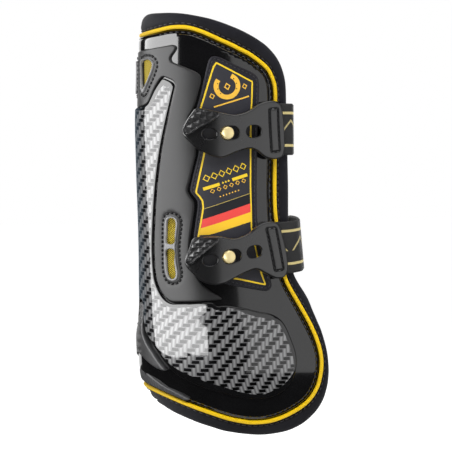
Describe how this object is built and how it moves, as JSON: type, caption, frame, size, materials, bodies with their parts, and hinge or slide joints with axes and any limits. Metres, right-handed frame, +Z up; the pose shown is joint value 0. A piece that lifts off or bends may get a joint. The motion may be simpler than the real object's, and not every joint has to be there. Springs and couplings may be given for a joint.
{
  "type": "tendon boot",
  "caption": "Open-front horse tendon boot: hard shell with a carbon-look tendon guard over a padded liner, closed by two elastic straps whose slotted tabs hook onto studs.",
  "frame": {"origin": "middle of the leg cavity, at mid height of the boot", "axes": "+Z up the leg, +X forward out of the open front, -X the tendon side, -Y the outer side with the tabs"},
  "size_m": [0.114, 0.0884, 0.2597],
  "materials": {
    "shell": "gloss black moulded shell with a clear surface",
    "carbon": "silver and charcoal twill weave under a gloss coat, gloss black margin",
    "frame": "satin dark grey moulded frame",
    "neoprene": "padded black knit-faced foam with a soft rim",
    "piping": "yellow woven piping cord",
    "label": "charcoal patch with yellow outline and diagonal stripes",
    "bezel": "light grey satin vent bezel",
    "vent_mesh": "golden diagonal-rib mesh",
    "stud": "polished pale gold",
    "backplate": "plain stamped washer",
    "tab": "satin-gloss black flexible plastic, glossier grip",
    "elastic": "black woven elastic with two pale gold lines",
    "gel": "soft dark gel pad"
  },
  "bodies": {
    "root": {"neoprene_liner": "neoprene", "outer_shell": "shell", "tendon_frame": "frame", "carbon_tendon_guard": "carbon", "fetlock_wing": "frame", "lower_ribbed_band": "frame", "label_patch": "label", "lateral_side_vent_bezel": "bezel", "lateral_side_vent_mesh": "vent_mesh", "lateral_rear_vent_bezel": "bezel", "lateral_rear_vent_mesh": "vent_mesh", "lateral_gel_pad": "gel", "medial_side_vent_bezel": "bezel", "medial_side_vent_mesh": "vent_mesh", "medial_rear_vent_bezel": "bezel", "medial_rear_vent_mesh": "vent_mesh", "medial_gel_pad": "gel", "edge_piping": "piping", "stud_upper": "stud", "stud_backplate_upper": "backplate", "stud_lower": "stud", "stud_backplate_lower": "backplate", "upper_elastic_anchor": "elastic", "lower_elastic_anchor": "elastic"},
    "upper_strap": {"upper_elastic": "elastic"},
    "upper_tab_body": {"upper_tab": "tab", "upper_tab_grip": "tab", "upper_tab_elastic_end": "elastic"},
    "lower_strap": {"lower_elastic": "elastic"},
    "lower_tab_body": {"lower_tab": "tab", "lower_tab_grip": "tab", "lower_tab_elastic_end": "elastic"}
  },
  "joints": [
    {"name": "upper_strap_swing", "type": "hinge", "parent": "root", "child": "upper_strap", "pos_m": [0.04434, 0.03279, 0.05553], "axis": [-0.0046, -0.0043, 1], "range_deg": [0, 105]},
    {"name": "upper_tab_lift", "type": "hinge", "parent": "upper_strap", "child": "upper_tab_body", "pos_m": [0.04434, -0.03279, 0.05553], "axis": [-0.0046, 0.0043, 1], "range_deg": [0, 115]},
    {"name": "lower_strap_swing", "type": "hinge", "parent": "root", "child": "lower_strap", "pos_m": [0.04367, 0.03559, -0.01712], "axis": [-0.1317, -0.0659, 0.9891], "range_deg": [0, 105]},
    {"name": "lower_tab_lift", "type": "hinge", "parent": "lower_strap", "child": "lower_tab_body", "pos_m": [0.04367, -0.03559, -0.01712], "axis": [-0.1317, 0.0659, 0.9891], "range_deg": [0, 100]}
  ]
}
